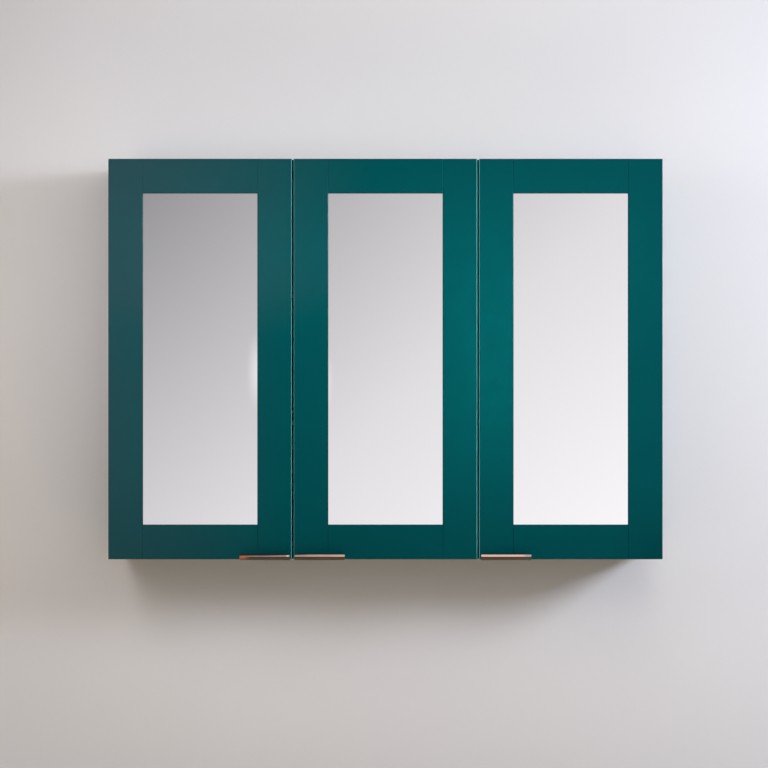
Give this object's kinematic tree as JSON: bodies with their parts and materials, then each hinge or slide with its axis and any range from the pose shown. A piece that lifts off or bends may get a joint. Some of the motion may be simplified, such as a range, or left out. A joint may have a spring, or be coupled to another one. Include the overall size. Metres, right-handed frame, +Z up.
{
  "type": "mirror cabinet",
  "caption": "Wall-hung mirror cabinet: framed doors with bonded mirrors and copper lip pulls, a partition, glass shelves and concealed hinges.",
  "frame": {"origin": "centre of the four wall screw holes of the two wall plates, on the wall plane", "axes": "+X to the right seen from the front, +Y into the wall, +Z up"},
  "size_m": [0.9, 0.178, 0.65],
  "materials": {
    "lacquer": "petrol green satin lacquer on fibreboard",
    "mirror": "silvered 4 mm glass",
    "copper": "brushed copper plating",
    "nickel": "nickel-plated steel",
    "glass": "clear float glass, ground edges",
    "clear_plastic": "clear soft plastic",
    "grey_plastic": "moulded plastic",
    "beech": "bare beech"
  },
  "bodies": {
    "cabinet": {"left_side_panel": "lacquer", "right_side_panel": "lacquer", "top_panel": "lacquer", "bottom_panel": "lacquer", "partition_panel": "lacquer", "back_panel": "lacquer", "wide_upper_shelf": "glass", "wide_lower_shelf": "glass", "narrow_upper_shelf": "glass", "narrow_lower_shelf": "glass", "shelf_supports": "nickel", "hinge_arms": "nickel", "hinge_plates": "nickel", "hinge_plate_screws": "nickel", "hinge_adjusting_screws": "nickel", "hinge_arm_pins": "nickel", "hanger_housings": "grey_plastic", "hanger_hooks": "nickel", "hanger_screws": "nickel", "wall_plates": "nickel", "cam_locks": "nickel", "cam_bolts": "nickel", "dowels": "beech"},
    "left_links": {"left_door_links": "nickel"},
    "left_door": {"left_door_hinge_stile": "lacquer", "left_door_pull_stile": "lacquer", "left_door_top_rail": "lacquer", "left_door_bottom_rail": "lacquer", "left_door_panel": "lacquer", "left_door_mirror": "mirror", "left_door_pull": "copper", "left_door_screws": "nickel", "left_door_hinge_cups": "nickel", "left_door_hinge_pins": "nickel", "left_door_bumpers": "clear_plastic"},
    "centre_links": {"centre_door_links": "nickel"},
    "centre_door": {"centre_door_hinge_stile": "lacquer", "centre_door_pull_stile": "lacquer", "centre_door_top_rail": "lacquer", "centre_door_bottom_rail": "lacquer", "centre_door_panel": "lacquer", "centre_door_mirror": "mirror", "centre_door_pull": "copper", "centre_door_screws": "nickel", "centre_door_hinge_cups": "nickel", "centre_door_hinge_pins": "nickel", "centre_door_bumpers": "clear_plastic"},
    "right_links": {"right_door_links": "nickel"},
    "right_door": {"right_door_hinge_stile": "lacquer", "right_door_pull_stile": "lacquer", "right_door_top_rail": "lacquer", "right_door_bottom_rail": "lacquer", "right_door_panel": "lacquer", "right_door_mirror": "mirror", "right_door_pull": "copper", "right_door_screws": "nickel", "right_door_hinge_cups": "nickel", "right_door_hinge_pins": "nickel", "right_door_bumpers": "clear_plastic"}
  },
  "joints": [
    {"name": "left_link_turn", "type": "hinge", "parent": "cabinet", "child": "left_links", "pos_m": [-0.4125, -0.132, -0.231], "axis": [0, 0, 1], "range_deg": [0, 47.5]},
    {"name": "left_door_open", "type": "hinge", "parent": "left_links", "child": "left_door", "pos_m": [-0.4355, -0.145, -0.231], "axis": [0, 0, -1], "range_deg": [0, 142.5]},
    {"name": "centre_link_turn", "type": "hinge", "parent": "cabinet", "child": "centre_links", "pos_m": [0.1125, -0.132, -0.231], "axis": [0, 0, -1], "range_deg": [0, 47.5]},
    {"name": "centre_door_open", "type": "hinge", "parent": "centre_links", "child": "centre_door", "pos_m": [0.1355, -0.145, -0.231], "axis": [0, 0, 1], "range_deg": [0, 142.5]},
    {"name": "right_link_turn", "type": "hinge", "parent": "cabinet", "child": "right_links", "pos_m": [0.4125, -0.132, -0.231], "axis": [0, 0, -1], "range_deg": [0, 47.5]},
    {"name": "right_door_open", "type": "hinge", "parent": "right_links", "child": "right_door", "pos_m": [0.4355, -0.145, -0.231], "axis": [0, 0, 1], "range_deg": [0, 142.5]}
  ],
  "couplings": [
    {"joint": "left_link_turn", "follows": "left_door_open", "ratio": 0.33333},
    {"joint": "centre_link_turn", "follows": "centre_door_open", "ratio": 0.33333},
    {"joint": "right_link_turn", "follows": "right_door_open", "ratio": 0.33333}
  ]
}
